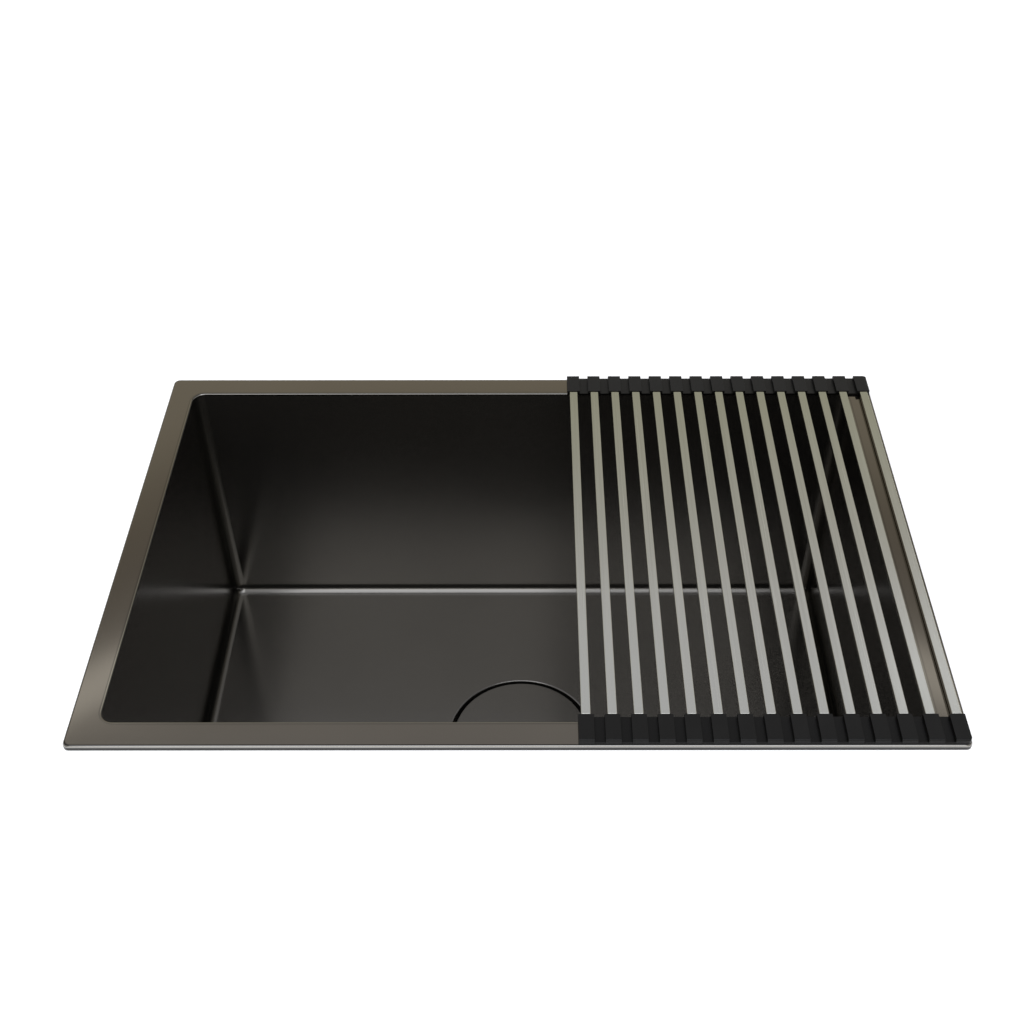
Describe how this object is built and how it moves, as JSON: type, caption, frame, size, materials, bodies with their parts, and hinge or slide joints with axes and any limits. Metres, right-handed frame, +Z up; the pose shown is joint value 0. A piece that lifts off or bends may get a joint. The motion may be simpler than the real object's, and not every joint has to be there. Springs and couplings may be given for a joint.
{
  "type": "workstation kitchen sink",
  "caption": "Drop-in kitchen sink with a deep rectangular bowl, a flush round drain cover over a basket strainer, and a roll-up drying rack on its rim.",
  "frame": {"origin": "centre of the worktop's cut-out, on the worktop's upper face, which is on the drain's axis", "axes": "+X to the right, +Y to the back, +Z up, for someone standing at the sink"},
  "size_m": [0.6858, 0.4572, 0.4619],
  "materials": {
    "gunmetal_bowl": "dark satin coating over brushed sheet",
    "gunmetal_rim": "dark satin coating over brushed sheet, lighter where it lies flat in the light",
    "gunmetal_cover": "dark satin coating over brushed sheet",
    "foam": "closed-cell foam strip",
    "clip_steel": "zinc-plated sheet",
    "screw_steel": "zinc-plated",
    "sound_rubber": "matte rubber sheet",
    "strainer_steel": "plain stainless steel",
    "seal_rubber": "black rubber",
    "fibre": "pressed fibre",
    "cast_nut": "die-cast metal",
    "basket_steel": "bright stainless steel",
    "white_plastic": "white plastic",
    "tail_metal": "plated pipe",
    "bar_steel": "brushed stainless steel",
    "silicone": "matte black silicone"
  },
  "bodies": {
    "sink": {"bowl": "gunmetal_bowl", "rim_frame": "gunmetal_rim", "rim_seal": "foam", "clip_rails": "clip_steel", "clip_arms": "clip_steel", "clip_screws": "screw_steel", "pad_front": "sound_rubber", "pad_back": "sound_rubber", "pad_left": "sound_rubber", "pad_right": "sound_rubber", "pad_floor_left": "sound_rubber", "pad_floor_right": "sound_rubber", "strainer_body": "strainer_steel", "flange_seal": "seal_rubber", "drain_washer": "seal_rubber", "friction_ring": "fibre", "lock_nut": "cast_nut", "tail_washer": "white_plastic", "tailpiece": "tail_metal", "coupling_nut": "cast_nut"},
    "rack_segment_15": {"rack_bar_15": "bar_steel", "end_caps_15": "silicone"},
    "rack_segment_14": {"rack_bar_14": "bar_steel", "end_caps_14": "silicone"},
    "rack_segment_13": {"rack_bar_13": "bar_steel", "end_caps_13": "silicone"},
    "rack_segment_12": {"rack_bar_12": "bar_steel", "end_caps_12": "silicone"},
    "rack_segment_11": {"rack_bar_11": "bar_steel", "end_caps_11": "silicone"},
    "rack_segment_10": {"rack_bar_10": "bar_steel", "end_caps_10": "silicone"},
    "rack_segment_09": {"rack_bar_09": "bar_steel", "end_caps_09": "silicone"},
    "rack_segment_08": {"rack_bar_08": "bar_steel", "end_caps_08": "silicone"},
    "rack_segment_07": {"rack_bar_07": "bar_steel", "end_caps_07": "silicone"},
    "rack_segment_06": {"rack_bar_06": "bar_steel", "end_caps_06": "silicone"},
    "rack_segment_05": {"rack_bar_05": "bar_steel", "end_caps_05": "silicone"},
    "rack_segment_04": {"rack_bar_04": "bar_steel", "end_caps_04": "silicone"},
    "rack_segment_03": {"rack_bar_03": "bar_steel", "end_caps_03": "silicone"},
    "rack_segment_02": {"rack_bar_02": "bar_steel", "end_caps_02": "silicone"},
    "rack_segment_01": {"rack_bar_01": "bar_steel", "end_caps_01": "silicone"},
    "basket": {"basket_cup": "basket_steel", "basket_stopper": "seal_rubber", "basket_post": "basket_steel"},
    "cover": {"drain_cover": "gunmetal_cover", "cover_feet": "seal_rubber"}
  },
  "joints": [
    {"name": "rack_slide", "type": "slide", "parent": "sink", "child": "rack_segment_15", "axis": [1, 0, 0], "range_m": [-0.386, 0]},
    {"name": "rack_roll", "type": "hinge", "parent": "rack_segment_15", "child": "rack_segment_14", "pos_m": [0.3247, 0, 0.00705], "axis": [0, 1, 0], "range_deg": [0, 28]},
    {"name": "rack_roll_13", "type": "hinge", "parent": "rack_segment_14", "child": "rack_segment_13", "pos_m": [0.3045, 0, 0.00705], "axis": [0, 1, 0], "range_deg": [0, 29.75]},
    {"name": "rack_roll_12", "type": "hinge", "parent": "rack_segment_13", "child": "rack_segment_12", "pos_m": [0.2843, 0, 0.00705], "axis": [0, 1, 0], "range_deg": [0, 31.5]},
    {"name": "rack_roll_11", "type": "hinge", "parent": "rack_segment_12", "child": "rack_segment_11", "pos_m": [0.2641, 0, 0.00705], "axis": [0, 1, 0], "range_deg": [0, 33.25]},
    {"name": "rack_roll_10", "type": "hinge", "parent": "rack_segment_11", "child": "rack_segment_10", "pos_m": [0.2439, 0, 0.00705], "axis": [0, 1, 0], "range_deg": [0, 35]},
    {"name": "rack_roll_09", "type": "hinge", "parent": "rack_segment_10", "child": "rack_segment_09", "pos_m": [0.2237, 0, 0.00705], "axis": [0, 1, 0], "range_deg": [0, 36.75]},
    {"name": "rack_roll_08", "type": "hinge", "parent": "rack_segment_09", "child": "rack_segment_08", "pos_m": [0.2035, 0, 0.00705], "axis": [0, 1, 0], "range_deg": [0, 38.5]},
    {"name": "rack_roll_07", "type": "hinge", "parent": "rack_segment_08", "child": "rack_segment_07", "pos_m": [0.1833, 0, 0.00705], "axis": [0, 1, 0], "range_deg": [0, 40.25]},
    {"name": "rack_roll_06", "type": "hinge", "parent": "rack_segment_07", "child": "rack_segment_06", "pos_m": [0.1631, 0, 0.00705], "axis": [0, 1, 0], "range_deg": [0, 42]},
    {"name": "rack_roll_05", "type": "hinge", "parent": "rack_segment_06", "child": "rack_segment_05", "pos_m": [0.1429, 0, 0.00705], "axis": [0, 1, 0], "range_deg": [0, 43.75]},
    {"name": "rack_roll_04", "type": "hinge", "parent": "rack_segment_05", "child": "rack_segment_04", "pos_m": [0.1227, 0, 0.00705], "axis": [0, 1, 0], "range_deg": [0, 45.5]},
    {"name": "rack_roll_03", "type": "hinge", "parent": "rack_segment_04", "child": "rack_segment_03", "pos_m": [0.1025, 0, 0.00705], "axis": [0, 1, 0], "range_deg": [0, 47.25]},
    {"name": "rack_roll_02", "type": "hinge", "parent": "rack_segment_03", "child": "rack_segment_02", "pos_m": [0.0823, 0, 0.00705], "axis": [0, 1, 0], "range_deg": [0, 49]},
    {"name": "rack_roll_01", "type": "hinge", "parent": "rack_segment_02", "child": "rack_segment_01", "pos_m": [0.0621, 0, 0.00705], "axis": [0, 1, 0], "range_deg": [0, 50.75]},
    {"name": "basket_lift", "type": "slide", "parent": "sink", "child": "basket", "axis": [0, 0, 1], "range_m": [0, 0.14]},
    {"name": "cover_lift", "type": "slide", "parent": "basket", "child": "cover", "axis": [0, 0, 1], "range_m": [0, 0.12]}
  ],
  "couplings": [
    {"joint": "rack_roll_13", "follows": "rack_roll", "ratio": 1.0625},
    {"joint": "rack_roll_12", "follows": "rack_roll", "ratio": 1.125},
    {"joint": "rack_roll_11", "follows": "rack_roll", "ratio": 1.1875},
    {"joint": "rack_roll_10", "follows": "rack_roll", "ratio": 1.25},
    {"joint": "rack_roll_09", "follows": "rack_roll", "ratio": 1.3125},
    {"joint": "rack_roll_08", "follows": "rack_roll", "ratio": 1.375},
    {"joint": "rack_roll_07", "follows": "rack_roll", "ratio": 1.4375},
    {"joint": "rack_roll_06", "follows": "rack_roll", "ratio": 1.5},
    {"joint": "rack_roll_05", "follows": "rack_roll", "ratio": 1.5625},
    {"joint": "rack_roll_04", "follows": "rack_roll", "ratio": 1.625},
    {"joint": "rack_roll_03", "follows": "rack_roll", "ratio": 1.6875},
    {"joint": "rack_roll_02", "follows": "rack_roll", "ratio": 1.75},
    {"joint": "rack_roll_01", "follows": "rack_roll", "ratio": 1.8125}
  ]
}
